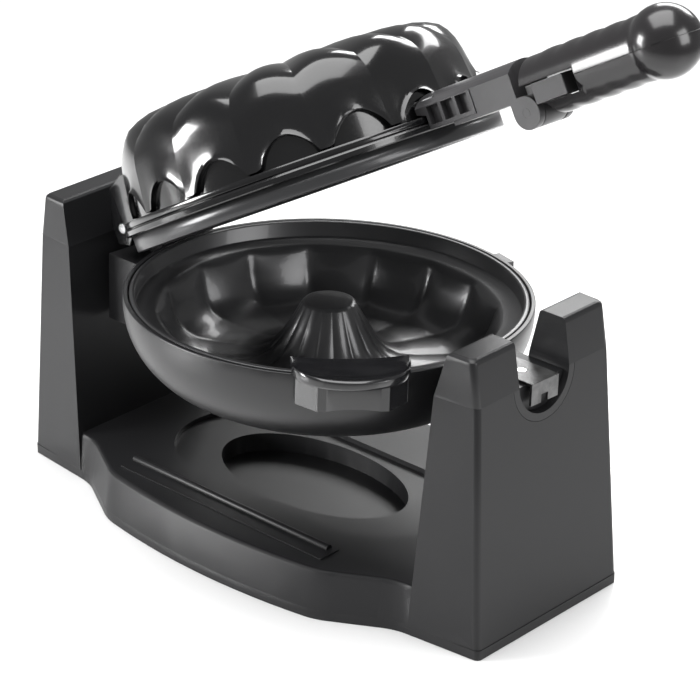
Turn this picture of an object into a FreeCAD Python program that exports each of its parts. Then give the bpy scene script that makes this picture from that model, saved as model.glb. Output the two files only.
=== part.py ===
"""Rotary ring-cake and donut maker: a base with two towers, and a head that turns over between them."""
import FreeCAD, Part
import math
import os
import re
import Sketcher

Vector = FreeCAD.Vector

# Driving sizes, millimetres and degrees. X runs along the turning axis, -Y is the front, +Z is up.
# The origin is on the table, under the middle of the base.
SIZES = {
    # base: feet of the towers, seam with their caps, caps
    "footHalfLength": 161.9, "footHalfDepth": 54.0, "towerFootInner": 119.6, "seamDrop": 0.9,
    "towerFootDepthInner": 58.2, "seamOuter": 154.2, "seamInner": 129.0, "seamDepthOuter": 49.2,
    "seamDepthInner": 51.6, "capRise": 22.8, "capOuter": 151.0, "capInner": 134.4,
    "capDepth": 48.7, "cornerRound": 3.0, "capRound": 2.5, "towerWall": 2.8,
    # base: plate, skirt and deck
    "padHeight": 1.2, "padRadius": 7.0, "plateTop": 5.2, "deckTop": 26.0, "deckSheet": 2.8,
    "skirtLean": 3.6, "skirtRound": 2.5, "skirtWall": 5.0, "skirtEnd": 145.0, "skirtEndDepth": 48.0,
    "bendFoot": 120.2, "bendFootDepth": 57.9, "bendInner": 104.0, "bendInnerDepth": 63.3,
    "bendInnerRadius": 34.6, "bendOuter": 83.0, "bendOuterDepth": 75.2, "bendOuterRadius": 40.0,
    "bowEnd": 70.0, "bowEndDepth": 80.3, "bowRadius": 418.0, "bossRadius": 4.6, "bossX": 96.0,
    "bossY": 48.0, "screwRadius": 2.0, "screwHead": 4.0, "screwReach": 12.0, "screwGap": 0.06,
    # tray and rib on the deck
    "trayHalfLength": 88.0, "trayHalfDepth": 40.5, "trayUnder": 4.0, "traySheet": 1.8,
    "basinHalfLength": 60.0, "basinHalfDepth": 34.0, "basinFloor": 11.0, "ribLeft": 77.0,
    "ribLength": 142.0, "ribHalfWidth": 2.0, "ribRise": 2.8, "ribFront": 56.5,
    "ribPlateFront": 67.0, "ribPlateBack": 53.5, "ribPlateRise": 0.6, "ribPlateLength": 146.0,
    # turning axis: notch in the right tower, bearing in the left one
    "axisHeight": 132.7, "notchRadius": 18.6, "collarWall": 4.0, "fitGap": 0.2, "shaftRadius": 10.0,
    "shaftBore": 6.0, "shaftGap": 0.08, "bushWall": 4.0, "bushGap": 0.05, "bushInner": 126.5,
    "bushOuter": 139.4, "bushFlange": 1.6, "bushFlangeRadius": 16.0, "shaftEnd": 160.0,
    "clipRadius": 13.0, "clipStart": 154.5, "clipWidth": 2.0,
    # cord entry and terminal block in the left tower
    "glandHeight": 20.0, "glandRadius": 6.0, "glandInside": 10.0, "glandOut": 5.0, "glandX": 141.0,
    "terminalLength": 18.0,
    "terminalDepth": 34.0, "terminalHeight": 14.0,
    # head as it rests
    "headX": 12.0, "headTilt": -2.6, "lidOpen": 29.2,
    # pan and lower baking plate
    "rimRadius": 105.0, "rimBand": 5.0, "bowlDepth": 48.0, "bowlFloor": 62.0, "bowlBulge": 44.5,
    "bowlWall": 2.5, "beadOuter": 102.0, "beadInner": 99.0, "beadDrop": 2.5, "nestDepth": 8.6,
    "flangeInner": 88.0, "plateSheet": 1.8, "mouldWallFoot": 82.0, "mouldFloorOuter": 69.0,
    "mouldFloorInner": 37.0, "mouldPostFoot": 24.0, "mouldPostTop": 13.0, "mouldBend": 12.0,
    "mouldDepth": 36.0, "mouldRound": 10.0, "lowerPostTop": 4.2,
    # lid and upper baking plate
    "closeGap": 0.6, "lidRadius": 100.4, "lidFlange": 8.0, "lidShoulder": 94.5, "shoulderRise": 1.5,
    "domeEdge": 92.5, "domeWallTop": 38.0, "domeCrown": 70.0, "domeHeight": 56.0, "domeRise": 1.5,
    "domeBulge": 24.0, "lidWall": 2.4, "fluteCount": 16, "fluteStart": 5.5, "fluteRadius": 5.0,
    "fluteDepth": 1.4, "fluteFoot": 12.0, "upperRim": 97.4, "upperDrop": 8.0, "mouldRise": 24.0,
    "upperPostDrop": 3.0, "heaterRadius": 54.0, "heaterTube": 3.2, "thermostatRadius": 6.0,
    "thermostatHeight": 5.0, "thermostatAt": 43.0,
    # lid hinge and the bracket under it
    "hingeX": 121.8, "hingeZ": 7.5, "hingePin": 2.5, "hingeHalfWidth": 30.0, "lugHalfWidth": 12.0,
    "knuckleRadius": 8.0, "runGap": 0.6, "pinGap": 0.06, "blockLeft": 133.0, "blockTop": 10.0,
    "blockBottom": 47.0, "blockShelf": 36.0, "bossAxle": 12.0,
    # handle: neck, folding link, grip
    "mountStart": 90.0, "mountEnd": 131.0, "mountBottom": 1.0, "neckStart": 115.0, "neckEnd": 157.5,
    "neckHalfWidth": 12.5, "neckBottom": 1.2, "foldX": 160.6, "foldZ": 7.0,
    "foldPin": 2.2, "cheekRadius": 8.0, "cheekInner": 8.6, "tongueStart": 169.6, "tongueEnd": 190.0,
    "tongueHalfWidth": 14.0, "tongueHalfHeight": 5.0, "gripStart": 163.0, "ballX": 242.0,
    "gripAxis": 2.5, "gripRadius": 15.6, "ballRadius": 17.2, "slotEnd": 198.0, "slideTravel": 5.0,
    "ribbedPocket": 8.0, "pocketDepth": 3.0,
    # thumb tab, rest bracket and plate releases
    "tabAngle": -41.0, "tabHalfWidth": 29.0, "tabReach": 131.0, "tabArcStart": 104.0,
    "tabInner": 103.0, "tabTop": 8.4, "tabLip": 5.0, "tabDrop": 11.0, "tabFace": 122.0,
    "bracketHalfWidth": 10.0, "bracketSheet": 1.5, "bracketTop": 1.5, "bracketEnd": 143.0,
    "bracketFoldGap": 5.6, "bracketSlot": 2.5, "hubEnd": 139.0, "releaseLength": 14.0,
    "releaseWidth": 4.2, "releaseHeight": 4.0, "releaseAngle": 75.0,
}

doc = FreeCAD.newDocument("DonutMaker")
sheet = doc.addObject("Spreadsheet::Sheet", "Sizes")
for row, (alias, amount) in enumerate(SIZES.items(), 1):
    sheet.set(f"A{row}", alias)
    sheet.set(f"B{row}", str(amount))
    sheet.setAlias(f"B{row}", alias)
doc.recompute()

subParts = []


def bound(text):
    """The expression with each size read from the sheet."""
    return re.sub(r"[A-Za-z]\w*", lambda m: "Sizes." + m[0] if m[0] in SIZES else m[0], str(text))


def size(text):
    """The number that an expression over the sizes gives."""
    amount = sheet.evalExpression(bound(text))
    return float(getattr(amount, "Value", amount))


def headFrame():
    """Head frame: centre of the pan's rim on the turning axis, a little off level as it rests."""
    tilt = FreeCAD.Rotation(Vector(1, 0, 0), size("headTilt"))
    return FreeCAD.Placement(Vector(size("headX"), 0, size("axisHeight")), tilt)


def lidFrame():
    """Head frame turned open about the lid's hinge."""
    pivot = Vector(-size("hingeX"), 0, size("hingeZ"))
    opening = FreeCAD.Rotation(Vector(0, 1, 0), -size("lidOpen"))
    return headFrame() * FreeCAD.Placement(Vector(0, 0, 0), opening, pivot)


# steps of a rounded edge: how far below the top and how far inside the side, in radii
QUARTER_ROUND = ((1, 0), (0.5, 0.134), (0.134, 0.5), (0, 1))


def finish(part, frame=None):
    """Count a piece as a sub-part and put it in its frame."""
    if frame is not None:
        part.Placement = frame * part.Placement
    subParts.append(part)
    return part


# ---------------------------------------------------------------- bodies and sketches
def newBody(label):
    part = doc.addObject("PartDesign::Body", label)
    part.Label = label
    return part


def arcBetween(start, end, radius):
    """Arc from start to end. A positive radius bows to the left of the way from start to end."""
    chord = end - start
    half = chord.Length / 2
    side = Vector(-chord.y, chord.x, 0).normalize() * (1 if radius > 0 else -1)
    reach = abs(radius)
    centre = start + chord * 0.5 - side * math.sqrt(max(reach * reach - half * half, 0.0))
    first = math.atan2(start.y - centre.y, start.x - centre.x)
    last = math.atan2(end.y - centre.y, end.x - centre.x)
    circle = Part.Circle(centre, Vector(0, 0, 1), reach)
    if radius > 0:
        return Part.ArcOfCircle(circle, last, first), 2
    return Part.ArcOfCircle(circle, first, last), 1


def sketch(part, plane, points, lift=0.0):
    """Closed outline. A point is (across, up) or (across, up, radius) for an arc to the next one."""
    base = [f for f in part.Origin.OriginFeatures if f.Role == plane][0]
    drawing = part.newObject("Sketcher::SketchObject", part.Name + "Sketch")
    drawing.AttachmentSupport = [(base, "")]
    drawing.MapMode = "FlatFace"
    if lift:
        drawing.setExpression("AttachmentOffset.Base.z", bound(lift))
    corners = [Vector(size(p[0]), size(p[1]), 0) for p in points]
    firsts = []
    for index, point in enumerate(points):
        start, end = corners[index], corners[(index + 1) % len(points)]
        if len(point) == 3:
            curve, first = arcBetween(start, end, size(point[2]))
            drawing.addGeometry(curve)
        else:
            first = 1
            drawing.addGeometry(Part.LineSegment(start, end))
        firsts.append(first)
    for index, point in enumerate(points):
        after = (index + 1) % len(points)
        drawing.addConstraint(Sketcher.Constraint("Coincident", index, 3 - firsts[index],
                                                  after, firsts[after]))
        for kind, axis, text in (("DistanceX", -2, point[0]), ("DistanceY", -1, point[1])):
            amount = size(text)
            if abs(amount) < 1e-9:
                drawing.addConstraint(Sketcher.Constraint("PointOnObject", index, firsts[index], axis))
                continue
            place = drawing.addConstraint(Sketcher.Constraint(kind, index, firsts[index], amount))
            drawing.setExpression(f"Constraints[{place}]", bound(text))
        if len(point) == 3:
            reach = abs(size(point[2]))
            place = drawing.addConstraint(Sketcher.Constraint("Radius", index, reach))
            drawing.setExpression(f"Constraints[{place}]", bound(f"abs({point[2]})"))
    doc.recompute()
    return drawing


def pad(part, drawing, length, taper=None, reverse=False, middle=False):
    step = part.newObject("PartDesign::Pad", part.Name + "Pad")
    step.Profile = drawing
    step.setExpression("Length", bound(length))
    step.Reversed = reverse
    step.Midplane = middle
    if taper:
        step.setExpression("TaperAngle", bound(taper))
    doc.recompute()
    return step


def loft(part, sections):
    """Straight-sided solid through the outlines, from the lowest to the highest."""
    step = part.newObject("PartDesign::AdditiveLoft", part.Name + "Loft")
    step.Profile = sections[0]
    step.Sections = sections[1:]
    step.Ruled = True
    doc.recompute()
    return step


def revolve(label, points, frame=None):
    """Ring or bowl turned about Z from a half section (radius, height)."""
    part = newBody(label)
    drawing = sketch(part, "XZ_Plane", points)
    step = part.newObject("PartDesign::Revolution", label + "Turn")
    step.Profile = drawing
    step.ReferenceAxis = (drawing, ["V_Axis"])
    step.Angle = 360
    doc.recompute()
    return part if frame is None else finish(part, frame)


# ---------------------------------------------------------------- primitives and booleans
def cylinder(label, radius, length, spot, along="Z"):
    """Cylinder from spot along X, Y or Z."""
    rod = doc.addObject("Part::Cylinder", label)
    rod.Label = label
    rod.setExpression("Radius", bound(radius))
    rod.setExpression("Height", bound(length))
    turns = {"X": FreeCAD.Rotation(Vector(0, 1, 0), 90), "Y": FreeCAD.Rotation(Vector(1, 0, 0), -90),
             "Z": FreeCAD.Rotation()}
    rod.Placement = FreeCAD.Placement(Vector(*[size(a) for a in spot]), turns[along])
    return rod


def box(label, lengths, spot):
    block = doc.addObject("Part::Box", label)
    block.Label = label
    for name, text in zip(("Length", "Width", "Height"), lengths):
        block.setExpression(name, bound(text))
    block.Placement.Base = Vector(*[size(a) for a in spot])
    return block


def fuse(label, pieces):
    joined = doc.addObject("Part::MultiFuse", label)
    joined.Label = label
    joined.Shapes = pieces
    joined.Refine = True
    doc.recompute()
    return joined


def common(label, pieces):
    shared = doc.addObject("Part::MultiCommon", label)
    shared.Label = label
    shared.Shapes = pieces
    doc.recompute()
    return shared


def cut(label, base, tools):
    """Base without the tools."""
    tool = tools[0] if len(tools) == 1 else fuse(label + "Tools", tools)
    rest = doc.addObject("Part::Cut", label)
    rest.Label = label
    rest.Base = base
    rest.Tool = tool
    rest.Refine = True
    doc.recompute()
    return rest


# ---------------------------------------------------------------- base
def baseOutline(lean="0", corner=True):
    """Plan of the base: straight feet under the towers, an S bend and a long bow between them."""
    if corner:
        ends = [("footHalfLength", "footHalfDepth - cornerRound", "cornerRound"),
                ("footHalfLength - cornerRound", "footHalfDepth")]
    else:
        ends = [("skirtEnd", "skirtEndDepth")]
    right = ends + [
        ("bendFoot", f"bendFootDepth - 0.6 * {lean}", "-bendInnerRadius"),
        ("bendInner", f"bendInnerDepth - {lean}"),
        ("bendOuter", f"bendOuterDepth - {lean}", "bendOuterRadius"),
        ("bowEnd", f"bowEndDepth - {lean}"),
    ]
    front = [(p[0], f"-({p[1]})", *p[2:]) for p in right]
    front[-1] = (*front[-1], "bowRadius")
    for index in range(len(right) - 1, -1, -1):
        bend = right[index - 1][2:] if index else ()
        front.append((f"-({right[index][0]})", f"-({right[index][1]})", *bend))
    return front + [(f"-({p[0]})", f"-({p[1]})", *p[2:]) for p in front]


def towerSection(side, level, inset="0"):
    """Rounded trapezoid of a tower at its foot, at the seam with its cap or at the top of the cap."""
    outer, depthOuter, inner, depthInner = {
        "foot": ("footHalfLength - 0.3", "footHalfDepth - 0.2", "towerFootInner",
                 "towerFootDepthInner"),
        "seam": ("seamOuter", "seamDepthOuter", "seamInner", "seamDepthInner"),
        "top": ("capOuter", "capDepth", "capInner", "capDepth + 0.6"),
    }[level]
    bend = f"{-side} * (cornerRound)"
    half = [(f"{outer} - {inset}", f"cornerRound + {inset} - ({depthOuter})"),
            (f"{outer} - {inset}", f"{depthOuter} - {inset} - cornerRound", bend),
            (f"{outer} - {inset} - cornerRound", f"{depthOuter} - {inset}"),
            (f"{inner} + {inset}", f"{depthInner} - {inset}"),
            (f"{inner} + {inset}", f"{inset} - ({depthInner})"),
            (f"{outer} - {inset} - cornerRound", f"{inset} - ({depthOuter})", bend)]
    return [(f"{side} * ({p[0]})", *p[1:]) for p in half]


def towerSolid(label, side, inset="0"):
    """Tapering block of a tower, from the plate to the seam."""
    part = newBody(label)
    loft(part, [sketch(part, "XY_Plane", towerSection(side, level, inset), height)
                for level, height in (("foot", "plateTop"), ("seam", "axisHeight - seamDrop"))])
    return part


def capSolid(label, side, inset="0", sink="0"):
    """Block of a cap with its top edge rounded, lowered by the sink."""
    part = newBody(label)
    drawings = [sketch(part, "XY_Plane", towerSection(side, "seam", inset),
                       f"axisHeight - seamDrop - {sink}")]
    for drop, narrow in QUARTER_ROUND:
        drawings.append(sketch(part, "XY_Plane",
                               towerSection(side, "top", f"({inset} + {narrow} * capRound)"),
                               f"axisHeight + capRise - {sink} - {drop} * capRound"))
    loft(part, drawings)
    return part


def stadium(label, halfLength, halfDepth, height, spot):
    """Flat block with half-round ends, its lower face centred on the spot."""
    reach = f"{halfLength} - ({halfDepth})"
    middle = box(label + "Middle", [f"2 * ({reach})", f"2 * ({halfDepth})", height],
                 [f"-({reach})", f"-({halfDepth})", spot])
    ends = [cylinder(f"{label}End{i}", halfDepth, height, [f"{side} * ({reach})", "0", spot])
            for i, side in enumerate((-1, 1))]
    return fuse(label, [middle] + ends)


def oval(label, halfLength, halfDepth, height, spot):
    """Block with an elliptic plan."""
    rim = doc.addObject("Part::Ellipse", label + "Rim")
    rim.setExpression("MajorRadius", bound(halfLength))
    rim.setExpression("MinorRadius", bound(halfDepth))
    rim.Placement.Base = Vector(0, 0, size(spot))
    block = doc.addObject("Part::Extrusion", label)
    block.Base = rim
    block.Dir = Vector(0, 0, 1)
    block.setExpression("LengthFwd", bound(height))
    block.Solid = True
    doc.recompute()
    return block


def axle(label, radius, start, end):
    """Cylinder along the turning axis, in the base's frame."""
    return cylinder(label, radius, f"{end} - ({start})", [start, "0", "axisHeight"], "X")


def bossSpots():
    return [(f"{i} * bossX", f"{j} * bossY") for i in (-1, 1) for j in (-1, 1)]


def makeBaseHousing():
    """Skirt, deck and both towers in one moulding, open underneath."""
    skirt = newBody("skirt")
    outlines = [sketch(skirt, "XY_Plane", baseOutline("0", False), "plateTop")]
    for drop, inset in QUARTER_ROUND:
        outlines.append(sketch(skirt, "XY_Plane",
                               baseOutline(f"(skirtLean + {inset} * skirtRound)", False),
                               f"deckTop - {drop} * skirtRound"))
    loft(skirt, outlines)
    pieces = [skirt] + [towerSolid(f"tower{i}", side) for i, side in enumerate((-1, 1))]
    bosses = [cylinder(f"boss{i}", "bossRadius", "deckTop - deckSheet - plateTop + 0.5",
                       [x, y, "plateTop"]) for i, (x, y) in enumerate(bossSpots())]
    hollow = newBody("underDeck")
    pad(hollow, sketch(hollow, "XY_Plane", hollowOutline(), "plateTop"),
        "deckTop - deckSheet - plateTop")
    tools = [hollow] + [towerSolid(f"shaftway{i}", side, "towerWall")
                        for i, side in enumerate((-1, 1))]
    tools.append(stadium("trayOpening", "trayHalfLength", "trayHalfDepth", "10", "deckTop - 5"))
    shell = cut("baseShell", fuse("baseSolid", pieces), tools)
    pilots = [cylinder(f"pilot{i}", "screwRadius + screwGap", "screwReach - plateTop + 0.5",
                       [x, y, "plateTop"]) for i, (x, y) in enumerate(bossSpots())]
    openings = [axle("collarSeat", "notchRadius + collarWall + fitGap", "100", "170"),
                axle("bushSeatLow", "shaftRadius + bushWall + bushGap", "-145", "-115"),
                cylinder("glandHole", "glandRadius + bushGap", "30",
                         ["-glandX", "footHalfDepth - glandInside - 4", "glandHeight"], "Y")]
    return finish(cut("base_housing", fuse("baseWithBosses", [shell] + bosses), pilots + openings))


def hollowOutline():
    """Room under the deck, running into both towers so that wires can pass."""
    right = [("130", "40"), ("110", "bendFootDepth - skirtWall - 4"),
             ("bendInner - 4", "bendInnerDepth - skirtWall - skirtLean"),
             ("bendOuter - 2", "bendOuterDepth - skirtWall - skirtLean"),
             ("bowEnd - 2", "bowEndDepth - skirtWall - skirtLean")]
    front = [(x, f"-({y})") for x, y in right] + [(f"-({x})", f"-({y})") for x, y in right[::-1]]
    return front + [(f"-({x})", f"-({y})") for x, y in front]


def footSpots():
    return [(f"{i} * 146", f"{j} * 38") for i in (-1, 1) for j in (-1, 1)]


def makeBottomPlate():
    """Closing plate with sinks for the screws and for the rubber pads, which sit flush."""
    plate = newBody("bottomSlab")
    pad(plate, sketch(plate, "XY_Plane", baseOutline()), "plateTop")
    holes = [cylinder(f"padSink{i}", "padRadius + screwGap", "padHeight + 1", [x, y, "-1"])
             for i, (x, y) in enumerate(footSpots())]
    for i, (x, y) in enumerate(bossSpots()):
        holes.append(cylinder(f"plateHole{i}", "screwRadius + screwGap", "10", [x, y, "0"]))
        holes.append(cylinder(f"plateSink{i}", "screwHead + screwGap", "3.5", [x, y, "-0.5"]))
    return finish(cut("bottom_plate", plate, holes))


def makePlateScrews():
    for i, (x, y) in enumerate(bossSpots(), 1):
        head = cylinder(f"screwHead{i}", "screwHead", "2", [x, y, "1"])
        shank = cylinder(f"screwShank{i}", "screwRadius", "screwReach - 1", [x, y, "1"])
        finish(fuse(f"plate_screw_{i}", [head, shank]))


def makeFeet():
    for i, (x, y) in enumerate(footSpots(), 1):
        finish(cylinder(f"foot_{i}", "padRadius", "padHeight", [x, y, "0"]))


def capShell(label, side):
    """Hollow cap with a rounded top."""
    return cut(label + "Shell", capSolid(label + "Solid", side),
               [capSolid(label + "Inside", side, "towerWall", "towerWall")])


def makeCaps():
    finish(cut("cap_left", capShell("capL", -1),
               [axle("bushSeatHigh", "shaftRadius + bushWall + bushGap", "-145", "-115")]))
    shell = capShell("capR", 1)
    whole = fuse("towerAndCap", [towerSolid("towerR", 1), capSolid("capRFull", 1)])
    cheeks = box("collarCheeks", ["70", "2 * (notchRadius + collarWall)", "30"],
                 ["100", "-notchRadius - collarWall", "axisHeight"])
    saddle = axle("collarRound", "notchRadius + collarWall", "100", "170")
    collar = common("collar", [fuse("collarSolid", [saddle, cheeks]), whole])
    trough = axle("notchRound", "notchRadius", "100", "170")
    mouth = box("notchMouth", ["70", "2 * notchRadius", "40"], ["100", "-notchRadius", "axisHeight"])
    finish(cut("cap_right", fuse("capRWhole", [shell, collar]), [trough, mouth]))


def makeTray():
    """Dish let in from below the deck, with an oval basin for crumbs."""
    flange = stadium("trayFlange", "trayHalfLength + trayUnder", "trayHalfDepth + trayUnder",
                     "traySheet", "deckTop - deckSheet - traySheet")
    basin = oval("basinOuter", "basinHalfLength + traySheet", "basinHalfDepth + traySheet",
                 "deckTop - deckSheet - basinFloor", "basinFloor")
    inside = oval("basinInner", "basinHalfLength", "basinHalfDepth", "deckTop",
                  "basinFloor + traySheet")
    finish(cut("deck_tray", fuse("traySolid", [flange, basin]), [inside]))


def makeRib():
    """Raised rib on a thin strip, along the front of the deck."""
    strip = box("ribStrip", ["ribPlateLength", "ribPlateFront - ribPlateBack", "ribPlateRise"],
                ["-ribLeft", "-ribPlateFront", "deckTop"])
    rib = newBody("ribBar")
    bar = sketch(rib, "YZ_Plane", [
        ("-ribFront - ribHalfWidth", "deckTop"), ("ribHalfWidth - ribFront", "deckTop"),
        ("ribHalfWidth - ribFront", "deckTop + ribRise - ribHalfWidth", "-ribHalfWidth - 0.001"),
        ("-ribFront - ribHalfWidth", "deckTop + ribRise - ribHalfWidth")], "-ribLeft")
    pad(rib, bar, "ribLength")
    finish(fuse("deck_rib", [strip, rib]))


def makeBearing():
    tube = axle("bushTube", "shaftRadius + bushWall", "-bushOuter", "-bushInner")
    flange = axle("bushDisc", "bushFlangeRadius", "-bushOuter", "bushFlange - bushOuter")
    bore = axle("bushBore", "shaftRadius + shaftGap", "-150", "-110")
    finish(cut("pivot_bush", fuse("bushSolid", [tube, flange]), [bore]))


def makeCordEntry():
    """Ferrule in the back wall of the left tower, and the terminal block behind it."""
    inner = "footHalfDepth - glandInside"
    tube = cylinder("glandTube", "glandRadius", "glandInside + glandOut + 3",
                    ["-glandX", inner, "glandHeight"], "Y")
    lip = cylinder("glandLip", "glandRadius + 2.5", "3",
                   ["-glandX", "footHalfDepth + glandOut", "glandHeight"], "Y")
    bore = cylinder("glandBore", "glandRadius - 2", "30",
                    ["-glandX", f"{inner} - 4", "glandHeight"], "Y")
    finish(cut("cord_gland", fuse("glandSolid", [tube, lip]), [bore]))
    finish(box("terminal_block", ["terminalLength", "terminalDepth", "terminalHeight"],
               ["-glandX - terminalLength / 2", "-terminalDepth / 2", "plateTop"]))


# ---------------------------------------------------------------- head: pan side
def panProfile():
    return [("0", "-bowlDepth"), ("bowlFloor", "-bowlDepth", "-bowlBulge"), ("rimRadius", "-rimBand"),
            ("rimRadius", "0")]


def panTool(label, extra="0"):
    """The space that the pan fills, to shape the pieces that sit against it."""
    return revolve(label, panProfile()[:-1] + [("rimRadius", extra), ("0", extra)])


def makePan():
    wall = [("rimRadius - bowlWall", "0"), ("rimRadius - bowlWall", "-rimBand", "bowlBulge - bowlWall"),
            ("bowlFloor", "bowlWall - bowlDepth"), ("0", "bowlWall - bowlDepth")]
    revolve("pan_housing", panProfile() + wall, headFrame())


def makeLowerPlate():
    """Sheet with a bead on the pan's rim, a flat ledge, a ring-shaped mould and a middle post."""
    upper = [("beadOuter", "0"), ("beadInner", "0"), ("beadInner", "-nestDepth"),
             ("flangeInner", "-nestDepth"), ("mouldWallFoot", "mouldRound - mouldDepth", "mouldBend"),
             ("mouldFloorOuter", "-mouldDepth"), ("mouldFloorInner", "-mouldDepth", "mouldBend"),
             ("mouldPostFoot", "mouldRound - mouldDepth"), ("mouldPostTop", "-lowerPostTop"),
             ("0", "-lowerPostTop")]
    bend = "-mouldBend - plateSheet"
    under = [("0", "-lowerPostTop - plateSheet"),
             ("mouldPostTop - plateSheet", "-lowerPostTop - plateSheet"),
             ("mouldPostFoot - plateSheet", "mouldRound - mouldDepth - 0.6", bend),
             ("mouldFloorInner - 0.6", "-mouldDepth - plateSheet"),
             ("mouldFloorOuter + 0.6", "-mouldDepth - plateSheet", bend),
             ("mouldWallFoot + plateSheet", "mouldRound - mouldDepth - 0.6"),
             ("flangeInner + plateSheet", "-nestDepth - plateSheet"),
             ("beadInner + plateSheet", "-nestDepth - plateSheet"),
             ("beadInner + plateSheet", "-beadDrop"), ("beadOuter", "-beadDrop")]
    revolve("baking_plate_lower", upper + under, headFrame())


def heater(label, height, frame):
    ring = doc.addObject("Part::Torus", label)
    ring.Label = label
    ring.setExpression("Radius1", bound("heaterRadius"))
    ring.setExpression("Radius2", bound("heaterTube"))
    ring.Placement.Base = Vector(0, 0, size(height))
    finish(ring, frame)


def makePanFittings():
    frame = headFrame()
    heater("heater_lower", "-mouldDepth - plateSheet - heaterTube", frame)
    finish(cylinder("thermostat_lower", "thermostatRadius", "thermostatHeight",
                    ["0", "thermostatAt", "-mouldDepth - plateSheet - thermostatHeight"]), frame)


def makePanBracket():
    """Block that carries the pan on its left, with the axle's boss and the lug of the lid's hinge."""
    block = newBody("bracketBlock")
    pad(block, sketch(block, "XZ_Plane", [
        ("-blockLeft", "-blockTop"), ("-blockLeft", "-blockBottom"), ("-112", "-blockBottom"),
        ("-100", "-blockShelf"), ("-86", "-blockShelf"), ("-86", "-blockTop")]),
        "2 * hingeHalfWidth", middle=True)
    lug = newBody("bracketLug")
    pad(lug, sketch(lug, "XZ_Plane", [
        ("-hingeX - knuckleRadius", "hingeZ"), ("-blockLeft", "-blockTop"),
        ("-blockLeft", "-blockTop - 2"), ("-110", "-blockTop - 2"), ("-110", "-blockTop"),
        ("knuckleRadius - hingeX", "hingeZ")]), "2 * lugHalfWidth", middle=True)
    knuckle = cylinder("bracketKnuckle", "knuckleRadius", "2 * lugHalfWidth",
                       ["-hingeX", "-lugHalfWidth", "hingeZ"], "Y")
    boss = cylinder("axleBoss", "bossAxle", "blockLeft - 124", ["-blockLeft", "0", "0"], "X")
    hole = cylinder("lugHole", "hingePin + pinGap", "80", ["-hingeX", "-40", "hingeZ"], "Y")
    wires = cylinder("bossBore", "shaftBore", "20", ["-blockLeft - 1", "0", "0"], "X")
    finish(cut("pan_bracket", fuse("bracketSolid", [block, lug, knuckle, boss]),
               [hole, wires, panTool("bracketPan")]), headFrame())


def makeAxle():
    rod = cylinder("shaftRod", "shaftRadius", "shaftEnd - blockLeft", ["-shaftEnd", "0", "0"], "X")
    bore = cylinder("shaftWay", "shaftBore", "60", ["-shaftEnd - 5", "0", "0"], "X")
    finish(cut("pivot_shaft", rod, [bore]), headFrame())
    ring = cylinder("clipDisc", "clipRadius", "clipWidth", ["-clipStart", "0", "0"], "X")
    seat = cylinder("clipSeat", "shaftRadius", "10", ["-clipStart - 2", "0", "0"], "X")
    finish(cut("pivot_clip", ring, [seat]), headFrame())
    finish(cylinder("hinge_pin", "hingePin", "2 * hingeHalfWidth + 2",
                    ["-hingeX", "-hingeHalfWidth - 1", "hingeZ"], "Y"), headFrame())


def makeThumbTab():
    frame = headFrame() * FreeCAD.Placement(Vector(), FreeCAD.Rotation(Vector(0, 0, 1), size("tabAngle")))
    block = newBody("tabBlock")
    pad(block, sketch(block, "XY_Plane", [
        ("98", "2 - tabHalfWidth"), ("tabFace - 10", "2 - tabHalfWidth"),
        ("tabFace", "12 - tabHalfWidth"), ("tabFace", "16 - tabHalfWidth", "40"),
        ("tabFace", "tabHalfWidth - 16"), ("tabFace", "tabHalfWidth - 12"),
        ("tabFace - 10", "tabHalfWidth - 2"), ("98", "tabHalfWidth - 2")], "-tabDrop"),
        "tabDrop + tabTop - tabLip")
    finish(cut("thumb_tab", block, [panTool("tabPan", "10")]), frame)
    lip = newBody("thumb_lip")
    reach = "tabReach - tabArcStart"
    pad(lip, sketch(lip, "XY_Plane", [
        ("sqrt(tabInner ^ 2 - tabHalfWidth ^ 2)", "-tabHalfWidth"),
        ("tabArcStart", "-tabHalfWidth", f"-(tabHalfWidth ^ 2 + ({reach}) ^ 2) / (2 * ({reach}))"),
        ("tabArcStart", "tabHalfWidth"),
        ("sqrt(tabInner ^ 2 - tabHalfWidth ^ 2)", "tabHalfWidth", "tabInner")],
        "tabTop - tabLip"), "tabLip")
    finish(lip, frame)


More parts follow.
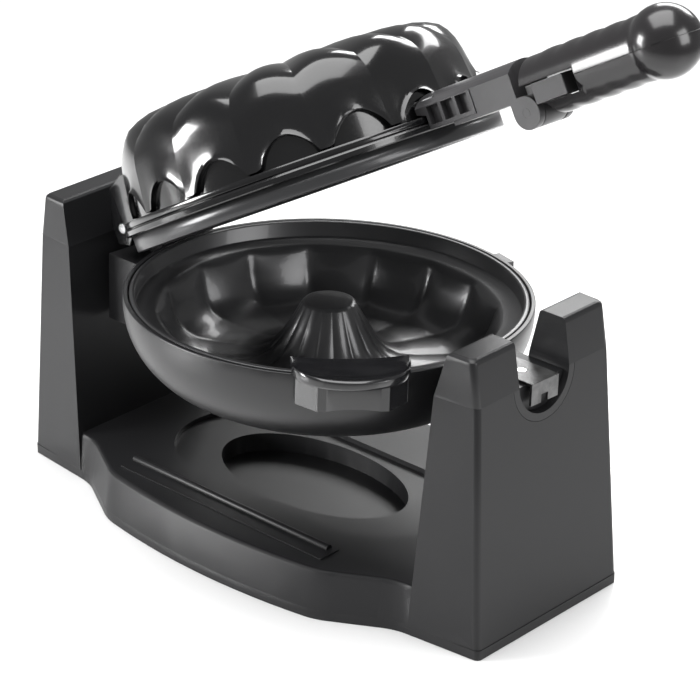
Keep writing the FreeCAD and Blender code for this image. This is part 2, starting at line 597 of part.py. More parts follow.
def makeRest():
    """Folded metal bracket and the half hub that rests in the notch of the right tower."""
    frame = headFrame()
    sheetTop = box("bracketPlate", ["bracketEnd - 100", "2 * bracketHalfWidth", "bracketSheet"],
                   ["100", "-bracketHalfWidth", "-bracketTop - bracketSheet"])
    foldEnd = "(notchRadius - bracketFoldGap)"
    fold = box("bracketDrop", ["bracketSheet", "2 * bracketHalfWidth", f"{foldEnd} - bracketTop"],
               ["bracketEnd - bracketSheet", "-bracketHalfWidth", f"-{foldEnd}"])
    slot = box("bracketSlotCut", ["10", "2 * bracketSlot", "5"],
               ["bracketEnd - 5", "-bracketSlot", f"-{foldEnd} - 0.7"])
    half = cylinder("hubRound", "notchRadius - fitGap - 0.1", "hubEnd - 100", ["100", "0", "0"], "X")
    upper = box("hubTop", ["60", "60", "30"], ["95", "-30", "-bracketTop - bracketSheet"])
    sinks, pilots = [], []
    for i, x in enumerate(("114", "128"), 1):
        sinks.append(cylinder(f"bracketSink{i}", "screwRadius + 0.5 + screwGap", "10", [x, "0", "-4"]))
        pilots.append(cylinder(f"hubPilot{i}", "screwRadius + screwGap", "12", [x, "0", "-13"]))
        head = cylinder(f"bracketHead{i}", "screwRadius + 0.5", "bracketSheet",
                        [x, "0", "-bracketTop - bracketSheet"])
        shank = cylinder(f"bracketShank{i}", "screwRadius", "9", [x, "0", "-bracketTop - bracketSheet - 9"])
        finish(fuse(f"bracket_screw_{i}", [head, shank]), frame)
    finish(cut("rest_bracket", fuse("bracketFolded", [sheetTop, fold]),
               [slot, panTool("restPan", "5")] + sinks), frame)
    finish(cut("rest_hub", half, [upper, panTool("hubPan", "5")] + pilots), frame)


def makeReleases():
    """Sliding keys that let go of the baking plates, at the back."""
    turn = FreeCAD.Placement(Vector(), FreeCAD.Rotation(Vector(0, 0, 1), size("releaseAngle")))
    lengths = ["releaseWidth", "releaseLength", "releaseHeight"]
    finish(box("release_lower", lengths, ["rimRadius + 0.4", "-releaseLength / 2", "-rimBand"]),
           headFrame() * turn)
    finish(box("release_upper", lengths, ["lidShoulder + 0.5", "-releaseLength / 2",
                                          "lidFlange + shoulderRise + 0.3"]), lidFrame() * turn)


# ---------------------------------------------------------------- head: lid side
def lidProfile():
    return [("lidRadius", "closeGap"), ("lidRadius", "lidFlange"),
            ("lidShoulder", "lidFlange + shoulderRise"),
            ("domeEdge", "domeWallTop", "-domeBulge"), ("domeCrown", "domeHeight"),
            ("0", "domeHeight + domeRise")]


def lidTool(label):
    return revolve(label, [("0", "closeGap")] + lidProfile())


def fluteTools():
    tools = []
    for k in range(int(size("fluteCount"))):
        angle = f"(fluteStart + {k} * 360 / fluteCount)"
        reach = "(lidShoulder + fluteRadius - fluteDepth)"
        tools.append(cylinder(f"flute{k}", "fluteRadius", "80",
                              [f"{reach} * cos({angle})", f"{reach} * sin({angle})", "fluteFoot"]))
    return tools


def screwSides():
    return [("8", 1), ("-8", 2)]


def makeLidShell():
    """Domed lid: flange, wall with upright grooves between its lobes, rounded crown."""
    inside = [("0", "domeHeight + domeRise - lidWall"), ("domeCrown - 0.6", "domeHeight - lidWall",
                                                         "domeBulge - lidWall"),
              ("domeEdge - lidWall", "domeWallTop - 0.6"),
              ("lidShoulder - lidWall", "lidFlange + shoulderRise"),
              ("lidShoulder - lidWall", "closeGap")]
    shell = revolve("lidBowl", lidProfile() + inside)
    holes = [cylinder(f"lidScrewHole{i}", "screwRadius + screwGap", "30", ["80", y, "14"], "X")
             for y, i in screwSides()]
    finish(cut("lid_shell", shell, fluteTools() + holes), lidFrame())


def makeUpperPlate():
    under = [("upperRim", "closeGap"), ("upperRim", "-upperDrop"), ("flangeInner", "-upperDrop"),
             ("mouldWallFoot", "mouldRise - mouldRound - 2", "-mouldBend"),
             ("mouldFloorOuter", "mouldRise"), ("mouldFloorInner", "mouldRise", "-mouldBend"),
             ("mouldPostFoot", "mouldRise - mouldRound - 2"), ("mouldPostTop", "-upperPostDrop"),
             ("0", "-upperPostDrop")]
    bend = "mouldBend + plateSheet"
    over = [("0", "plateSheet - upperPostDrop"),
            ("mouldPostTop - plateSheet", "plateSheet - upperPostDrop"),
            ("mouldPostFoot - plateSheet", "mouldRise - mouldRound - 1.4", bend),
            ("mouldFloorInner - 0.6", "mouldRise + plateSheet"),
            ("mouldFloorOuter + 0.6", "mouldRise + plateSheet", bend),
            ("mouldWallFoot + plateSheet", "mouldRise - mouldRound - 1.4"),
            ("flangeInner + plateSheet", "plateSheet - upperDrop"),
            ("upperRim - plateSheet", "plateSheet - upperDrop"), ("upperRim - plateSheet", "closeGap")]
    frame = lidFrame()
    revolve("baking_plate_upper", under + over, frame)
    heater("heater_upper", "mouldRise + plateSheet + heaterTube", frame)
    finish(cylinder("thermostat_upper", "thermostatRadius", "thermostatHeight",
                    ["0", "thermostatAt", "mouldRise + plateSheet"]), frame)


def makeHingeCover():
    """Housing at the back of the lid whose two cheeks turn on the hinge pin."""
    outline = [(-8, -7), (0, -10), (11, -0.5), (24, 1.5), (30, 27), (11.5, 27), (-0.3, 22), (-8, 5)]
    cover = newBody("coverBlock")
    pad(cover, sketch(cover, "XZ_Plane", [(f"{x} - hingeX", f"{z} + hingeZ") for x, z in outline]),
        "2 * hingeHalfWidth", middle=True)
    slot = box("coverSlot", ["34", "2 * (lugHalfWidth + runGap)", "35"],
               ["-hingeX - 25", "-lugHalfWidth - runGap", "hingeZ - 20"])
    hole = cylinder("coverHole", "hingePin + pinGap", "80", ["-hingeX", "-40", "hingeZ"], "Y")
    finish(cut("hinge_cover", cover, [slot, hole, lidTool("coverLid")]), lidFrame())


def makeNeck():
    """Ribbed mount on the lid and the neck that reaches out over the notch to the folding pivot."""
    mount = box("mountBlock", ["mountEnd - mountStart", "2 * neckHalfWidth + 1", "30"],
                ["mountStart", "-neckHalfWidth - 0.5", "mountBottom"])
    neck = box("neckBlock", ["neckEnd - neckStart", "2 * neckHalfWidth", "30"],
               ["neckStart", "-neckHalfWidth", "-neckBottom"])
    rounded = common("neckRounded", [fuse("neckSquare", [mount, neck]), cylinder(
        "neckRoundTool", "notchRadius - 3 * fitGap", "100", ["80", "0", "0"], "X")])
    cheek = cylinder("cheekRound", "cheekRadius", "2 * neckHalfWidth",
                     ["foldX", "-neckHalfWidth", "-foldZ"], "Y")
    arm = box("cheekArm", ["8", "2 * neckHalfWidth", "foldZ + 1"],
              ["foldX - cheekRadius", "-neckHalfWidth", "-foldZ"])
    room = cylinder("knuckleRoom", "cheekRadius + runGap", "2 * cheekInner",
                    ["foldX", "-cheekInner", "-foldZ"], "Y")
    throat = box("knuckleThroat", ["30", "2 * cheekInner", "30"], ["foldX", "-cheekInner", "-foldZ"])
    hole = cylinder("foldHole", "foldPin + pinGap", "80", ["foldX", "-40", "-foldZ"], "Y")
    pockets = []
    for k in range(3):
        for side in (-1, 1):
            place = f"{side} * neckHalfWidth - {side} * pocketDepth / 2 + {side} - pocketDepth / 2 - 1"
            pockets.append(box(f"pocket{k}{side + 1}", ["ribbedPocket", "pocketDepth + 2", "9"],
                               [f"101 + {k} * (ribbedPocket + 2)", place, "3"]))
    pilots = [cylinder(f"mountPilot{i}", "screwRadius + screwGap", "24", ["80", y, "14"], "X")
              for y, i in screwSides()]
    whole = fuse("neckWhole", [rounded, cheek, arm])
    finish(cut("handle_neck", whole, [room, throat, hole, lidTool("neckLid")] + pockets + pilots),
           lidFrame())


def makeLidHardware():
    frame = lidFrame()
    for y, i in screwSides():
        head = cylinder(f"mountHead{i}", "screwHead - 0.5", "2", ["87.4", y, "14"], "X")
        shank = cylinder(f"mountShank{i}", "screwRadius", "16", ["87.4", y, "14"], "X")
        finish(fuse(f"mount_screw_{i}", [head, shank]), frame)
    finish(cylinder("fold_pin", "foldPin", "2 * neckHalfWidth", ["foldX", "-neckHalfWidth", "-foldZ"],
                    "Y"), frame)


def makeLink():
    """Folding link: a knuckle between the cheeks and the flat tongue on which the grip slides."""
    knuckle = cylinder("linkKnuckle", "cheekRadius", "2 * (cheekInner - runGap)",
                       ["foldX", "runGap - cheekInner", "-foldZ"], "Y")
    stem = box("linkStem", ["tongueStart - foldX + 2", "2 * (cheekInner - runGap)",
                            "2 * tongueHalfHeight"],
               ["foldX", "runGap - cheekInner", "-tongueHalfHeight"])
    tongue = box("linkTongue", ["tongueEnd - tongueStart", "2 * tongueHalfWidth",
                                "2 * tongueHalfHeight"],
                 ["tongueStart", "-tongueHalfWidth", "-tongueHalfHeight"])
    hole = cylinder("linkHole", "foldPin + pinGap", "80", ["foldX", "-40", "-foldZ"], "Y")
    finish(cut("handle_link", fuse("linkSolid", [knuckle, stem, tongue]), [hole]), lidFrame())


def makeGrip():
    """Round grip with a ball end, in an upper and a lower shell, slotted for the tongue."""
    frame = lidFrame()
    for name, low in (("grip_upper", "gripAxis"), ("grip_lower", "gripAxis - 40")):
        ball = doc.addObject("Part::Sphere", name + "Ball")
        ball.setExpression("Radius", bound("ballRadius"))
        ball.Placement.Base = Vector(size("ballX"), 0, size("gripAxis"))
        barrel = cylinder(name + "Barrel", "gripRadius", "ballX - gripStart",
                          ["gripStart", "0", "gripAxis"], "X")
        half = common(name + "Half", [fuse(name + "Whole", [ball, barrel]), box(
            name + "Side", ["140", "80", "40"], ["150", "-40", low])])
        slot = box(name + "Slot", ["slotEnd - gripStart + 1", "60",
                                   "2 * (tongueHalfHeight + runGap)"],
                   ["gripStart - 1", "-30", "-tongueHalfHeight - runGap"])
        rooms = [cylinder(f"{name}Room{k}", "cheekRadius + 0.8", "60",
                          [f"foldX + {k} * slideTravel / 2", "-30", "-foldZ"], "Y") for k in range(3)]
        bore = [cylinder(f"{name}Bore{i}", "screwRadius + screwGap", "23", [x, "0", "-14"])
                for i, x in enumerate(("214", "236"))]
        sink = [cylinder(f"{name}Sink{i}", "screwHead + screwGap", "6.2", [x, "0", "-16"])
                for i, x in enumerate(("214", "236"))]
        finish(cut(name, half, [slot] + rooms + bore + sink), frame)
    for i, x in enumerate(("214", "236"), 1):
        head = cylinder(f"gripHead{i}", "screwHead", "2", [x, "0", "-12"])
        shank = cylinder(f"gripShank{i}", "screwRadius", "20.5", [x, "0", "-12"])
        finish(fuse(f"grip_screw_{i}", [head, shank]), frame)


# ---------------------------------------------------------------- build and write
makeBaseHousing()
makeBottomPlate()
makePlateScrews()
makeFeet()
makeCaps()
makeTray()
makeRib()
makeBearing()
makeCordEntry()
makePan()
makeLowerPlate()
makePanFittings()
makePanBracket()
makeAxle()
makeThumbTab()
makeRest()
makeReleases()
makeLidShell()
makeUpperPlate()
makeHingeCover()
makeNeck()
makeLidHardware()
makeLink()
makeGrip()
doc.recompute()

for thing in doc.Objects:
    if {"Invalid", "Error"} & set(thing.State):
        raise RuntimeError(thing.Label + " did not build")
os.makedirs("parts", exist_ok=True)
for part in subParts:
    shape = part.Shape
    if shape.isNull() or not shape.isValid() or len(shape.Solids) != 1:
        raise RuntimeError(f"{part.Label}: {len(shape.Solids)} solids, valid {shape.isValid()}")
    shape.exportStep(f"parts/{part.Label}.step")
print(len(subParts), "sub-parts written")
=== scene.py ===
import math
import bpy
import bmesh
from mathutils import Matrix, Vector


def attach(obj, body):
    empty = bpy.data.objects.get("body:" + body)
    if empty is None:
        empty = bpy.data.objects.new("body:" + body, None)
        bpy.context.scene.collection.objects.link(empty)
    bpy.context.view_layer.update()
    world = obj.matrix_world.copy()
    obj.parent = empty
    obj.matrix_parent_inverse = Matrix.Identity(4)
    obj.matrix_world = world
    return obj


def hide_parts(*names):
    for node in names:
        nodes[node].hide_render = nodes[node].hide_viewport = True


# The looks of a rotary ring-cake and donut maker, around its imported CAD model.
# Pieces are drawn in millimetres, lights and the floor in metres, angles are in degrees.
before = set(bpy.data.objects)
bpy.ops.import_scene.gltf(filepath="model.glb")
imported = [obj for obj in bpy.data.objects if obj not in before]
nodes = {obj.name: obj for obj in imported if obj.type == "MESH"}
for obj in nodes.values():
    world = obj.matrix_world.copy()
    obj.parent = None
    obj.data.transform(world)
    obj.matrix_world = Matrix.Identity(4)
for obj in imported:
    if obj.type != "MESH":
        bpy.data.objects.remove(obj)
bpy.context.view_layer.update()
print("frame loaded", len(nodes), "nodes")

mm = 0.001
scene = bpy.context.scene
hidden = []

# where the head and its lid are at rest
rest = {"centre": (12.0, 0.0, 132.7), "tilt": -2.6, "hinge": (-121.8, 0.0, 7.5), "open": 29.2}


def turned(angle, axis):
    return Matrix.Rotation(math.radians(angle), 4, axis)


headFrame = Matrix.Translation(Vector(rest["centre"])) @ turned(rest["tilt"], "X")
hingeAt = Matrix.Translation(Vector(rest["hinge"]))
lidFrame = headFrame @ hingeAt @ turned(-rest["open"], "Y") @ hingeAt.inverted()


# shader maths
# a value inside a material that can be added, multiplied and mixed
class Wave:
    def __init__(self, tree, socket):
        self.tree = tree
        self.socket = socket

    def maths(self, kind, other):
        node = makeNode(self.tree, "ShaderNodeMath", operation=kind)
        plug(self.tree, self, node.inputs[0])
        plug(self.tree, other, node.inputs[1])
        return Wave(self.tree, node.outputs[0])

    def __add__(self, other):
        return self.maths("ADD", other)

    def __sub__(self, other):
        return self.maths("SUBTRACT", other)

    def __mul__(self, other):
        return self.maths("MULTIPLY", other)

    def __pow__(self, other):
        return self.maths("POWER", other)

    def above(self, limit):
        return self.maths("GREATER_THAN", limit)

    def spread(self, low, high, toLow=0.0, toHigh=1.0):
        node = makeNode(self.tree, "ShaderNodeMapRange", clamp=True)
        for index, value in enumerate((self, low, high, toLow, toHigh)):
            plug(self.tree, value, node.inputs[index])
        return Wave(self.tree, node.outputs[0])

    def tint(self, first, second):
        node = makeNode(self.tree, "ShaderNodeMix", data_type="RGBA")
        plug(self.tree, self, node.inputs[0])
        plug(self.tree, (*first, 1.0), node.inputs[6])
        plug(self.tree, (*second, 1.0), node.inputs[7])
        return Wave(self.tree, node.outputs[2])


def makeNode(tree, kind, **settings):
    node = tree.nodes.new(kind)
    for name, value in settings.items():
        setattr(node, name, value)
    return node


def plug(tree, value, socket):
    if isinstance(value, Wave):
        tree.links.new(value.socket, socket)
    else:
        socket.default_value = value


# cloudy pattern on the object's own coordinates; scale is in repeats per metre
def noise(tree, scale, detail=4.0, rough=0.55, stretch=(1, 1, 1)):
    place = makeNode(tree, "ShaderNodeTexCoord")
    mapping = makeNode(tree, "ShaderNodeMapping")
    mapping.inputs["Scale"].default_value = stretch
    tree.links.new(place.outputs["Object"], mapping.inputs["Vector"])
    node = makeNode(tree, "ShaderNodeTexNoise")
    tree.links.new(mapping.outputs[0], node.inputs["Vector"])
    node.inputs["Scale"].default_value = scale
    node.inputs["Detail"].default_value = detail
    node.inputs["Roughness"].default_value = rough
    return Wave(tree, node.outputs["Fac"])


# principled surface with a cloudy tone, uneven sheen and a fine grain
def makeMaterial(name, look):
    material = bpy.data.materials.new(name)
    material.use_nodes = True
    tree = material.node_tree
    surface = tree.nodes["Principled BSDF"]
    surface.inputs["Metallic"].default_value = look.get("metal", 0.0)
    surface.inputs["IOR"].default_value = look.get("ior", 1.5)
    surface.inputs["Coat Weight"].default_value = look.get("coat", 0.0)
    surface.inputs["Coat Roughness"].default_value = look.get("coatRough", 0.03)
    stretch = look.get("stretch", (1, 1, 1))
    cloud = noise(tree, look.get("cloud", 14.0), 3.0)
    grain = noise(tree, look.get("grain", 2600.0), 2.0, 0.6, stretch)
    colour = look["colour"]
    dark = tuple(c * look.get("dark", 0.82) for c in colour)
    light = tuple(min(1.0, c * look.get("light", 1.12)) for c in colour)
    plug(tree, cloud.spread(0.3, 0.7).tint(dark, light), surface.inputs["Base Color"])
    rough = look["rough"]
    uneven = look.get("uneven", 0.12)
    sheen = (cloud * 0.4 + grain * 0.6).spread(0.3, 0.7, rough * (1 - uneven), rough * (1 + uneven))
    plug(tree, sheen, surface.inputs["Roughness"])
    bump = makeNode(tree, "ShaderNodeBump")
    bump.inputs["Strength"].default_value = look.get("bump", 0.15)
    bump.inputs["Distance"].default_value = look.get("depth", 0.00008)
    plug(tree, grain, bump.inputs["Height"])
    tree.links.new(bump.outputs[0], surface.inputs["Normal"])
    return material


looks = {
    "satinBlack": {"colour": (0.011, 0.011, 0.012), "rough": 0.4, "ior": 1.4, "grain": 3200.0, "bump": 0.22},
    "capBlack": {"colour": (0.013, 0.013, 0.014), "rough": 0.36, "ior": 1.42, "grain": 3200.0, "bump": 0.2},
    "glossBlack": {"colour": (0.004, 0.004, 0.0045), "rough": 0.17, "ior": 1.5, "coat": 0.4,
                   "grain": 900.0, "bump": 0.02, "uneven": 0.2},
    "tabBlack": {"colour": (0.008, 0.008, 0.009), "rough": 0.2, "coat": 0.5, "grain": 1200.0,
                 "bump": 0.05},
    "bowlBlack": {"colour": (0.012, 0.012, 0.013), "rough": 0.34, "ior": 1.55, "grain": 2400.0,
                  "bump": 0.16},
    "nonStick": {"colour": (0.045, 0.045, 0.047), "rough": 0.3, "metal": 0.35, "grain": 3400.0,
                 "bump": 0.25, "coat": 0.2},
    "zinc": {"colour": (0.16, 0.16, 0.16), "rough": 0.42, "metal": 1.0, "cloud": 130.0, "dark": 0.6,
             "light": 1.3, "grain": 900.0, "uneven": 0.35},
    "steel": {"colour": (0.48, 0.48, 0.49), "rough": 0.26, "metal": 1.0, "grain": 2500.0,
              "stretch": (1, 1, 12)},
    "greyPlastic": {"colour": (0.045, 0.044, 0.046), "rough": 0.33, "grain": 3000.0, "bump": 0.15},
    "gripBlack": {"colour": (0.016, 0.015, 0.016), "rough": 0.24, "coat": 0.25, "grain": 2600.0,
                  "bump": 0.1},
    "rubber": {"colour": (0.012, 0.012, 0.012), "rough": 0.7, "grain": 1500.0, "bump": 0.4},
    "ceramic": {"colour": (0.62, 0.58, 0.5), "rough": 0.6, "grain": 1800.0, "bump": 0.3},
}
materials = {name: makeMaterial(name, look) for name, look in looks.items()}
print("materials", len(materials))

# CAD pieces: finish and softened edges
finishes = {
    "satinBlack": ["base_housing", "bottom_plate", "deck_tray", "deck_rib", "pivot_bush",
                   "pan_bracket", "rest_hub"],
    "capBlack": ["cap_left", "cap_right"],
    "glossBlack": ["lid_shell", "hinge_cover"],
    "tabBlack": ["thumb_tab", "thumb_lip"],
    "bowlBlack": ["pan_housing"],
    "nonStick": ["baking_plate_lower", "baking_plate_upper"],
    "zinc": ["rest_bracket"],
    "greyPlastic": ["handle_neck", "handle_link", "release_lower", "release_upper", "fold_pin"],
    "gripBlack": ["grip_upper", "grip_lower"],
    "rubber": ["foot_1", "foot_2", "foot_3", "foot_4", "cord_gland"],
    "ceramic": ["terminal_block"],
}
edgeWidths = {"base_housing": 1.1, "cap_left": 0.8, "cap_right": 0.8, "bottom_plate": 0.5,
              "thumb_tab": 1.0, "pan_bracket": 1.2, "hinge_cover": 1.6, "handle_neck": 0.9,
              "handle_link": 0.8, "rest_hub": 0.6, "rest_bracket": 0.25, "deck_tray": 0.5,
              "deck_rib": 0.25, "pan_housing": 0.6}
finishOf = {node: name for name, members in finishes.items() for node in members}


def soften(piece, width, segments=3, angle=28):
    weld = piece.modifiers.new("weld", "WELD")
    weld.merge_threshold = 0.000002
    bevel = piece.modifiers.new("edges", "BEVEL")
    bevel.width = width * mm
    bevel.segments = segments
    bevel.limit_method = "ANGLE"
    bevel.angle_limit = math.radians(angle)
    bevel.harden_normals = True
    bevel.use_clamp_overlap = True


for node, piece in nodes.items():
    material = materials[finishOf.get(node, "steel")]
    if piece.data.materials:
        piece.material_slots[0].material = material
    else:
        piece.data.materials.append(material)
    soften(piece, edgeWidths.get(node, 0.3))
print("CAD pieces dressed")


# building new pieces
# mesh in millimetres of a moving frame, put in the row's frame and hung on a body
def newPiece(name, bm, place, body, materialName, smooth=True):
    bmesh.ops.recalc_face_normals(bm, faces=bm.faces)
    for face in bm.faces:
        face.smooth = smooth
    bm.transform(Matrix.Scale(mm, 4) @ place)
    mesh = bpy.data.meshes.new(name)
    bm.to_mesh(mesh)
    bm.free()
    piece = bpy.data.objects.new(name, mesh)
    scene.collection.objects.link(piece)
    mesh.materials.append(materials[materialName])
    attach(piece, body)
    return piece


# quads between rings of points; a ring of one point closes an end
def skin(bm, rings, closed=True):
    made = [[bm.verts.new(point) for point in ring] for ring in rings]
    for low, high in zip(made, made[1:]):
        count = max(len(low), len(high))
        for index in range(count if closed else count - 1):
            after = (index + 1) % count
            corners = [low[index % len(low)], low[after % len(low)],
                       high[after % len(high)], high[index % len(high)]]
            unique = list(dict.fromkeys(corners))
            if len(unique) > 2:
                bm.faces.new(unique)
    return made


# rings about Z; a row gives the radius and height from the share of a lobe and its swell
def turnedRings(rows, lobes, steps, start, sharp=0.75):
    rings = []
    for row in rows:
        ring = []
        for index in range(lobes * steps):
            share = (index % steps) / steps
            swell = math.sin(math.pi * share) ** sharp
            radius, height = row(share, swell)
            angle = math.radians(start) + 2 * math.pi * index / (lobes * steps)
            ring.append((radius * math.cos(angle), radius * math.sin(angle), height))
        rings.append(ring)
    return rings


def plainRow(radius, height, lobeRadius=0.0, lobeHeight=0.0):
    return lambda share, swell: (radius + lobeRadius * swell, height + lobeHeight * swell)


# lid: flange with two bands, lobed wall with a scalloped foot, crown that fades to smooth
lid = {"lobes": 16, "start": 5.5, "foot": 8.0, "footRise": 12.5, "wall": 94.4, "recess": 91.3,
       "crown": 57.2, "firstCrease": 17, "lastCrease": 26}


def scallop(share):
    return math.sin(math.pi * min(1.0, max(0.0, (share - 0.18) / 0.82))) ** 0.8


def footRow(radius, lift):
    return lambda share, swell: (radius, lid["foot"] + lift + lid["footRise"] * scallop(share))


# row of the wall, part of the way from the scalloped foot to the given height
def wallRow(part, radius, height, lobeRadius, lobeHeight):
    def place(share, swell):
        low = lid["foot"] + 1.0 + lid["footRise"] * scallop(share)
        return radius + lobeRadius * swell, low + (height - low) * part + lobeHeight * swell
    return place


def makeLid():
    bm = bmesh.new()
    rows = [plainRow(97.0, 0.6), plainRow(99.8, 0.6), plainRow(100.4, 1.2), plainRow(100.4, 3.4),
            plainRow(99.9, 4.0), plainRow(98.3, 4.1), plainRow(98.1, 4.4), plainRow(98.4, 4.8),
            plainRow(98.6, 5.3), plainRow(98.5, 7.2), plainRow(98.0, 7.9), plainRow(95.5, 8.0),
            plainRow(91.8, 8.0), footRow(91.3, 0.0), footRow(91.5, 0.2), footRow(92.6, 0.7),
            footRow(94.0, 0.7), footRow(94.4, 1.0)]
    for part in (0.12, 0.35, 0.65):
        rows.append(wallRow(part, 94.4 - 2.4 * part, 30.0, -1.2, 0.0))
    rows += [plainRow(91.9, 31.0, -1.1), plainRow(90.8, 36.0, -0.8, 0.2),
             plainRow(88.8, 40.8, -0.1, 0.9), plainRow(85.8, 44.8, 0.6, 1.8),
             plainRow(82.2, 47.9, 1.1, 2.6), plainRow(76.8, 50.3, 0.9, 3.2),
             plainRow(70.4, 52.3, 0.6, 3.3),
             plainRow(62.0, 54.0, 0.4, 2.7), plainRow(51.0, 55.3, 0.1, 2.0),
             plainRow(36.0, 56.4, 0.0, 1.1), plainRow(18.0, 57.0, 0.0, 0.3)]
    rings = turnedRings(rows, lid["lobes"], 16, lid["start"], 0.9)
    rings.append([(0.0, 0.0, lid["crown"])])
    made = skin(bm, rings)
    for low, high in zip(made[lid["firstCrease"]:lid["lastCrease"]], made[lid["firstCrease"] + 1:]):
        for index in range(0, len(low), 16):
            bm.edges.get((low[index], high[index])).smooth = False
    piece = newPiece("lobedLid", bm, lidFrame, "lid", "glossBlack")
    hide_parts("lid_shell")
    edges = piece.modifiers.new("sharp", "EDGE_SPLIT")
    edges.split_angle = math.radians(38)
    return piece


# ring moulds: the lower one is deep, the upper one shallower, both fluted on the outer wall
def makeMoulds():
    bm = bmesh.new()
    rows = [plainRow(102.0, -2.5), plainRow(102.0, -0.5), plainRow(101.5, 0.0), plainRow(99.6, 0.0),
            plainRow(99.1, -0.5), plainRow(99.0, -7.9), plainRow(98.3, -8.6), plainRow(89.2, -8.6),
            plainRow(87.6, -9.4, -0.2), plainRow(86.2, -13.0, -2.0), plainRow(84.6, -20.0, -3.6),
            plainRow(82.0, -26.5, -4.4), plainRow(77.0, -32.5, -4.2), plainRow(70.0, -35.4, -3.2, 0.4),
            plainRow(60.0, -36.0, -1.5, 0.6), plainRow(46.0, -36.0, 0.5, 0.6),
            plainRow(37.0, -35.2, 1.6, 0.4), plainRow(29.0, -31.0, 1.8), plainRow(24.0, -25.0, 1.4),
            plainRow(19.0, -16.0, 0.8), plainRow(14.2, -6.0, 0.2), plainRow(12.8, -4.4),
            plainRow(11.6, -4.2)]
    skin(bm, turnedRings(rows, 16, 12, lid["start"]) + [[(0.0, 0.0, -4.2)]])
    piece = newPiece("ringMouldLower", bm, headFrame, "head", "nonStick")
    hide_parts("baking_plate_lower")
    bm = bmesh.new()
    rows = [plainRow(95.6, 0.6), plainRow(97.4, 0.6), plainRow(97.4, -7.4), plainRow(96.8, -8.0),
            plainRow(89.2, -8.0), plainRow(87.6, -7.2, -0.2), plainRow(86.0, -3.0, -1.8),
            plainRow(84.0, 5.0, -3.2), plainRow(81.5, 13.0, -4.0), plainRow(76.5, 20.5, -3.8),
            plainRow(69.5, 23.5, -2.8, -0.4), plainRow(58.0, 24.0, -1.2, -0.6),
            plainRow(44.0, 24.0, 0.6, -0.6), plainRow(36.5, 22.8, 1.6, -0.4), plainRow(28.5, 17.0, 1.6),
            plainRow(23.0, 10.0, 1.2), plainRow(17.5, 2.0, 0.6), plainRow(13.6, -2.4),
            plainRow(12.4, -3.0)]
    skin(bm, turnedRings(rows, 16, 12, lid["start"]) + [[(0.0, 0.0, -3.0)]])
    piece = newPiece("ringMouldUpper", bm, lidFrame, "lid", "nonStick")
    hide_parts("baking_plate_upper")


# grip: two shells with finger waves above and below and a ball end
grip = {"start": 163.0, "lowerStart": 174.6, "neckEnd": 244.0, "radius": 15.4, "ball": 17.2,
        "ballX": 241.8, "axis": 2.5,
        "slotEnd": 198.0, "slot": 5.6, "waves": 5, "waveDepth": 0.55}


# radius at x; lift is 1 on top, -1 below and 0 at the sides
def gripRadius(x, lift):
    along = (x - 172.0) / (grip["neckEnd"] - 178.0)
    wave = 0.0
    if 0 < along < 0.94:
        wave = grip["waveDepth"] * abs(lift) ** 4 * abs(math.sin(math.pi * along * grip["waves"]))
    barrel = grip["radius"] - 0.5 * abs(lift) + wave
    reach = grip["ball"] ** 2 - (x - grip["ballX"]) ** 2
    ball = math.sqrt(reach) if reach > 0 else 0.0
    if x > grip["ballX"]:
        return ball
    return max(barrel, ball if x > grip["ballX"] - 8.5 else 0.0)


def makeGripShell(name, side, node):
    bm = bmesh.new()
    stations = [grip["start"] + 0.2, grip["start"] + 0.8]
    stations += [164.5 + 1.5 * k for k in range(23)]
    stations += [197.9, 198.1] + [199.5 + 1.5 * k for k in range(29)]
    stations += [grip["ballX"] + grip["ball"] * math.sin(math.radians(a)) for a in range(4, 88, 6)]
    rings = []
    for x in sorted(stations):
        if side < 0 and x < grip["lowerStart"]:
            continue
        ring = []
        for step in range(25):
            angle = math.pi * step / 24
            lift = math.sin(angle)
            radius = gripRadius(x, lift)
            if x < grip["start"] + 0.5:
                radius -= 0.6
            z = grip["axis"] + side * radius * lift
            limit = side * grip["slot"] if x < 198.0 else grip["axis"] + side * 0.12
            z = max(z, limit) if side > 0 else min(z, limit)
            ring.append((x, radius * math.cos(angle), z))
        rings.append(ring)
    made = skin(bm, rings, closed=True)
    for ring in (made[0], made[-1]):
        bm.faces.new(ring)
    piece = newPiece(name, bm, lidFrame, "grip", "gripBlack")
    edges = piece.modifiers.new("sharp", "EDGE_SPLIT")
    edges.split_angle = math.radians(40)
    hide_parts(node)


# thumb lip: half moon with a hollowed top and a rolled front band
tab = {"angle": -41.0, "half": 28.6, "inner": 103.2, "straight": 104.0, "reach": 130.8, "top": 8.3,
       "bottom": 3.4, "hollow": 1.9}


def makeThumbLip():
    bm = bmesh.new()
    count = 40
    profile = [(0.0, 0.0, 0), (0.0, 1.0, 0), (0.12, 0.75, 1), (0.45, 0.45, 1), (0.75, 0.55, 1),
               (0.9, 0.95, 1), (0.96, 1.0, 1), (1.0, 0.8, 0), (1.0, 0.25, 0), (0.97, 0.0, 0)]
    rings = []
    for index in range(count + 1):
        angle = math.pi * (index / count - 0.5)
        y = tab["half"] * math.sin(angle)
        inner = math.sqrt(tab["inner"] ** 2 - y * y)
        outer = tab["straight"] + (tab["reach"] - tab["straight"]) * math.cos(angle) ** 0.8
        span = max(outer - inner, 1.6)
        depth = tab["top"] - tab["bottom"]
        ring = []
        for along, up, dips in profile:
            z = tab["bottom"] + depth * (up if dips else min(1.0, up))
            ring.append((inner + span * along, y, z))
        rings.append(ring)
    made = skin(bm, rings)
    for ring in (made[0], made[-1]):
        bm.faces.new(ring)
    piece = newPiece("scoopedLip", bm, headFrame @ turned(tab["angle"], "Z"), "head", "tabBlack")
    bevel = piece.modifiers.new("edges", "BEVEL")
    bevel.width = 0.5 * mm
    bevel.segments = 2
    bevel.limit_method = "ANGLE"
    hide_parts("thumb_lip")


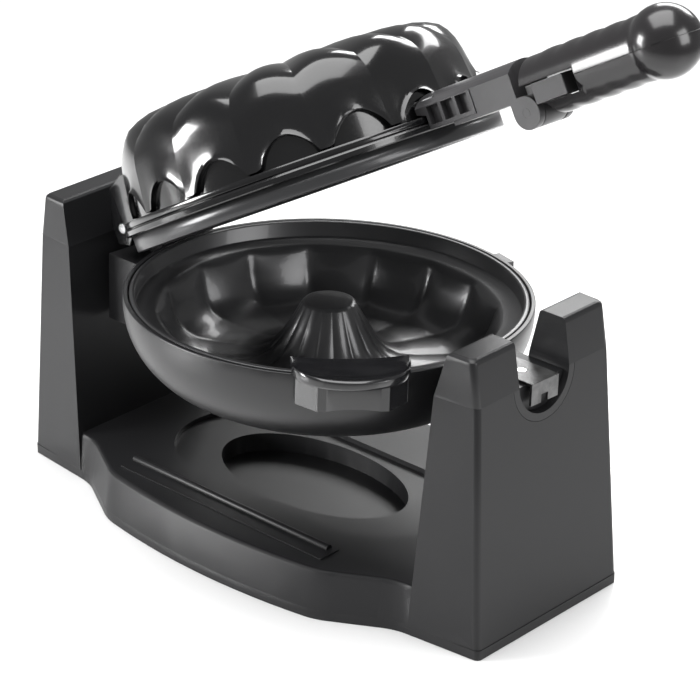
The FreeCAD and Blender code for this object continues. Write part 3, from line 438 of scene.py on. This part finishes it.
makeLid()
makeMoulds()
makeGripShell("gripTop", 1, "grip_upper")
makeGripShell("gripBottom", -1, "grip_lower")
makeThumbLip()
print("new pieces made")

# floor, light and camera
stageLook = {"floorSize": 8.0, "floorColour": 0.92, "floorRough": 0.2, "floorFade": (0.45, 1.1),
             "worldStrength": 0.3}


def makeFloor():
    bm = bmesh.new()
    bmesh.ops.create_grid(bm, x_segments=1, y_segments=1, size=stageLook["floorSize"])
    mesh = bpy.data.meshes.new("floor")
    bm.to_mesh(mesh)
    bm.free()
    floor = bpy.data.objects.new("floor", mesh)
    floor.location.z = -0.0002
    scene.collection.objects.link(floor)
    material = bpy.data.materials.new("floorWhite")
    material.use_nodes = True
    surface = material.node_tree.nodes["Principled BSDF"]
    surface.inputs["Base Color"].default_value = (*[stageLook["floorColour"]] * 3, 1.0)
    surface.inputs["Roughness"].default_value = stageLook["floorRough"]
    tree = material.node_tree
    away = makeNode(tree, "ShaderNodeVectorMath", operation="LENGTH")
    place = makeNode(tree, "ShaderNodeTexCoord")
    tree.links.new(place.outputs["Object"], away.inputs[0])
    reach = Wave(tree, away.outputs["Value"])
    plug(tree, reach.spread(*stageLook["floorFade"], 1.0, 0.0), surface.inputs["Alpha"])
    mesh.materials.append(material)


def makeWorld():
    world = bpy.data.worlds.new("studio")
    scene.world = world
    world.use_nodes = True
    tree = world.node_tree
    tree.nodes.clear()
    path = makeNode(tree, "ShaderNodeLightPath")
    seen = makeNode(tree, "ShaderNodeBackground")
    seen.inputs["Color"].default_value = (1, 1, 1, 1)
    seen.inputs["Strength"].default_value = 1.0
    lit = makeNode(tree, "ShaderNodeBackground")
    lit.inputs["Color"].default_value = (1, 1, 1, 1)
    lit.inputs["Strength"].default_value = stageLook["worldStrength"]
    mix = makeNode(tree, "ShaderNodeMixShader")
    out = makeNode(tree, "ShaderNodeOutputWorld")
    tree.links.new(path.outputs["Is Camera Ray"], mix.inputs[0])
    tree.links.new(lit.outputs[0], mix.inputs[1])
    tree.links.new(seen.outputs[0], mix.inputs[2])
    tree.links.new(mix.outputs[0], out.inputs["Surface"])


# softboxes: where they stand, where they point, size and watts
softboxes = {
    "overhead": {"at": (-0.1, -0.1, 1.6), "to": (0, 0, 0.1), "size": (1.4, 1.4), "watts": 32},
    "leftFront": {"at": (-1.0, -1.2, 0.4), "to": (0, 0, 0.15), "size": (0.55, 0.6), "watts": 26},
    "rightSide": {"at": (1.4, 0.2, 0.8), "to": (0.1, 0, 0.1), "size": (0.7, 0.9), "watts": 12},
    "rearEdge": {"at": (-0.5, 1.4, 0.9), "to": (0, 0, 0.15), "size": (1.2, 0.5), "watts": 16},
}


def makeSoftboxes():
    for name, box in softboxes.items():
        data = bpy.data.lights.new(name, "AREA")
        data.shape = "RECTANGLE"
        data.size, data.size_y = box["size"]
        data.energy = box["watts"]
        lamp = bpy.data.objects.new(name, data)
        lamp.location = box["at"]
        aim = Vector(box["to"]) - Vector(box["at"])
        lamp.rotation_euler = aim.to_track_quat("-Z", "Y").to_euler()
        scene.collection.objects.link(lamp)


view = {"azimuth": 43.23, "elevation": 25.46, "lens": 149.95, "target": (0.01852, 0.00823, 0.09924),
        "distance": 1.49993}


def makeCamera():
    data = bpy.data.cameras.new("camera")
    data.lens = view["lens"]
    data.sensor_width = 36.0
    camera = bpy.data.objects.new("camera", data)
    around, up = math.radians(view["azimuth"]), math.radians(view["elevation"])
    back = Vector((math.sin(around) * math.cos(up), -math.cos(around) * math.cos(up), math.sin(up)))
    camera.location = Vector(view["target"]) + back * view["distance"]
    camera.rotation_euler = back.to_track_quat("Z", "Y").to_euler()
    data.clip_start = 0.05
    data.clip_end = 40.0
    scene.collection.objects.link(camera)
    scene.camera = camera


makeFloor()
makeWorld()
makeSoftboxes()
makeCamera()
scene.render.engine = "CYCLES"
scene.render.resolution_x = 700
scene.render.resolution_y = 700
scene.view_settings.view_transform = "Standard"
scene.view_settings.look = "None"
scene.cycles.max_bounces = 8
print("stage set")
